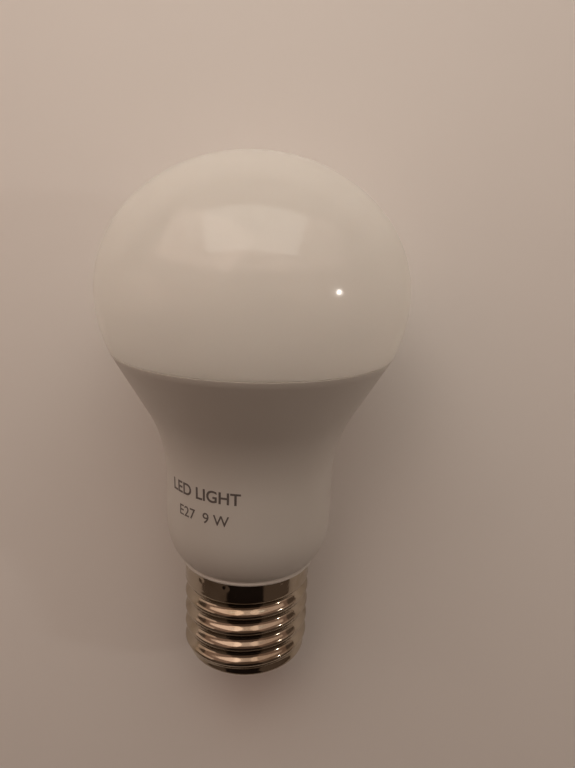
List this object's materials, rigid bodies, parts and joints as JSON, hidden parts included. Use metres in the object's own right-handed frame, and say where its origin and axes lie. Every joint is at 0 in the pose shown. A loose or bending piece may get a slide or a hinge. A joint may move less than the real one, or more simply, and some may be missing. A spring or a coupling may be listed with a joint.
{
  "type": "smart light bulb",
  "caption": "Pear-shaped LED lamp with a frosted globe on a flared white housing, a radio and driver inside, and an E27 screw cap.",
  "frame": {"origin": "middle of the centre contact's flat outer face, at the very end of the screw cap", "axes": "+Z along the lamp's axis from the cap to the crown of the globe; +X across the lamp, along the width of the radio board; +Y away from the side that carries the driver board's tall parts"},
  "size_m": [0.06, 0.06, 0.109],
  "materials": {
    "frosted_globe": "milky white, semi-gloss",
    "white_housing": "white, satin moulded",
    "screw_shell": "bright nickel plate on steel",
    "insulator": "black vitrite glass",
    "contact": "nickel-plated brass",
    "sealant": "white silicone",
    "heat_sink": "plain drawn aluminium",
    "thermal_pad": "grey silicone sheet",
    "led_board": "white solder mask on an aluminium core",
    "led_package": "white package with yellow phosphor",
    "screw_steel": "zinc-plated steel",
    "connector": "natural nylon",
    "sleeve": "natural polycarbonate",
    "circuit_board": "green solder mask",
    "resistor": "green lacquer",
    "varistor": "blue epoxy coat",
    "film_capacitor": "yellow case",
    "can_capacitor": "dark blue plastic sleeve on an aluminium can",
    "ferrite": "dull black ferrite",
    "black_moulding": "black phenolic and nylon",
    "winding_tape": "yellow polyester tape over the winding",
    "copper_wire": "enamelled copper wire",
    "chip": "black epoxy",
    "crystal_can": "plated steel can",
    "red_wire": "red insulation",
    "blue_wire": "blue insulation"
  },
  "bodies": {
    "root": {"board_screw_1": "screw_steel", "board_screw_2": "screw_steel", "board_screw_3": "screw_steel", "bridge_rectifier": "chip", "bulk_capacitor": "can_capacitor", "cap_insulator": "insulator", "cap_shell": "screw_shell", "centre_contact": "contact", "driver_board": "circuit_board", "driver_chip": "chip", "driver_sleeve": "sleeve", "filter_capacitor": "film_capacitor", "filter_choke_core": "ferrite", "filter_choke_winding": "copper_wire", "fuse_resistor": "resistor", "globe_diffuser": "frosted_globe", "heat_sink_cup": "heat_sink", "heat_spreader": "heat_sink", "lamp_housing": "white_housing", "led_01": "led_package", "led_02": "led_package", "led_03": "led_package", "led_04": "led_package", "led_05": "led_package", "led_06": "led_package", "led_07": "led_package", "led_08": "led_package", "led_09": "led_package", "led_10": "led_package", "led_11": "led_package", "led_12": "led_package", "led_board": "led_board", "led_connector": "connector", "live_lead": "red_wire", "neutral_lead": "blue_wire", "output_capacitor": "can_capacitor", "output_diode": "chip", "power_header": "black_moulding", "power_switch": "chip", "radio_board": "circuit_board", "radio_chip": "chip", "radio_crystal": "crystal_can", "radio_header": "black_moulding", "rim_sealant": "sealant", "surge_varistor": "varistor", "thermal_pad": "thermal_pad", "transformer_bobbin": "black_moulding", "transformer_core": "ferrite", "transformer_winding": "winding_tape"}
  },
  "joints": []
}
